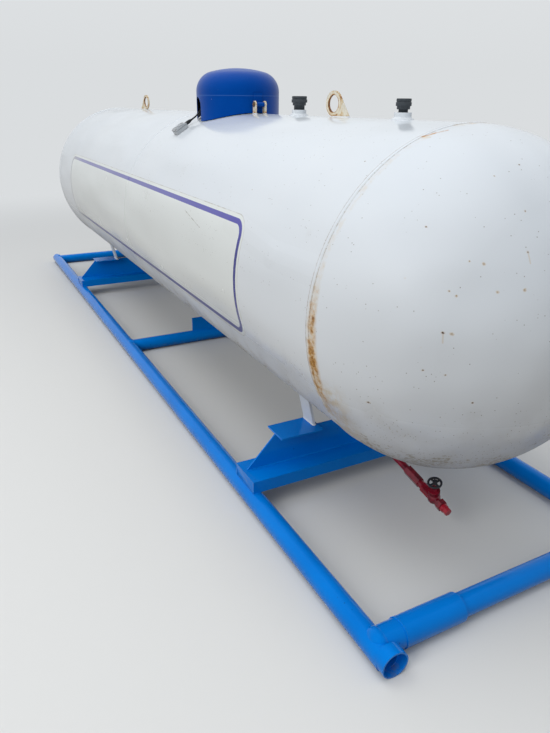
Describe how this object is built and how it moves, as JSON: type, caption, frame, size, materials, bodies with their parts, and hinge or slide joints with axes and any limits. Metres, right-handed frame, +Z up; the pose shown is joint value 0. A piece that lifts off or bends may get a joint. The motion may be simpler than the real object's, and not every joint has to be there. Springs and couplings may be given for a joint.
{
  "type": "horizontal pressure tank",
  "caption": "Horizontal steel pressure tank with domed ends, hinged valve hood, lifting lugs and relief caps, on a welded pipe skid with saddles and a bottom drain valve.",
  "frame": {"origin": "middle of the skid's footprint, on the floor", "axes": "+X along the tank towards the end with the drain valve, +Z up, -Y the side with the striped panel"},
  "size_m": [5.134, 1.113, 1.5414],
  "materials": {
    "white_paint": "gloss, weathered",
    "cream_paint": "dull, rust-edged",
    "skid_blue": "gloss",
    "hood_blue": "satin",
    "valve_red": "satin",
    "dark_paint": "dull",
    "bare_steel": "dull",
    "brass": "dull",
    "black_rubber": "matte",
    "grey_plastic": "matte",
    "black_plastic": "satin"
  },
  "bodies": {
    "tank_on_skid": {"tank_shell": "white_paint", "near_head": "white_paint", "far_head": "white_paint", "near_seam_weld": "white_paint", "middle_seam_weld": "white_paint", "far_seam_weld": "white_paint", "near_lifting_lug": "cream_paint", "far_lifting_lug": "cream_paint", "near_relief_coupling": "white_paint", "near_relief_cap": "black_rubber", "far_relief_coupling": "white_paint", "far_relief_cap": "black_rubber", "port_couplings": "white_paint", "fill_valve": "brass", "service_valve": "brass", "vapour_valve": "brass", "float_gauge": "grey_plastic", "hinge_ears": "cream_paint", "hinge_pin": "bare_steel", "monitor_box": "grey_plastic", "monitor_plug": "black_plastic", "monitor_lead": "black_plastic", "near_front_leg": "white_paint", "near_back_leg": "white_paint", "far_front_leg": "white_paint", "far_back_leg": "white_paint", "near_saddle_pads": "skid_blue", "far_saddle_pads": "skid_blue", "near_saddle_web": "skid_blue", "far_saddle_web": "skid_blue", "near_saddle_channel": "skid_blue", "far_saddle_channel": "skid_blue", "front_runner": "skid_blue", "back_runner": "skid_blue", "near_cross_tube": "skid_blue", "far_cross_tube": "skid_blue", "middle_cross_tube": "skid_blue", "near_cross_sleeves": "skid_blue", "belly_plate": "skid_blue", "drain_pipe": "valve_red", "drain_valve": "valve_red", "drain_plug": "valve_red"},
    "hood": {"hood": "hood_blue", "hood_knuckle": "hood_blue"},
    "drain_wheel": {"drain_wheel": "dark_paint"}
  },
  "joints": [
    {"name": "hood_hinge", "type": "hinge", "parent": "tank_on_skid", "child": "hood", "pos_m": [0.692, 0.01, 1.3834], "axis": [0, 1, 0], "range_deg": [0, 100]},
    {"name": "drain_wheel_turn", "type": "hinge", "parent": "tank_on_skid", "child": "drain_wheel", "pos_m": [2.12171, -0.01935, 0.19074], "axis": [0.1851, -0.2419, 0.9525], "range_deg": [0, 1080]}
  ]
}
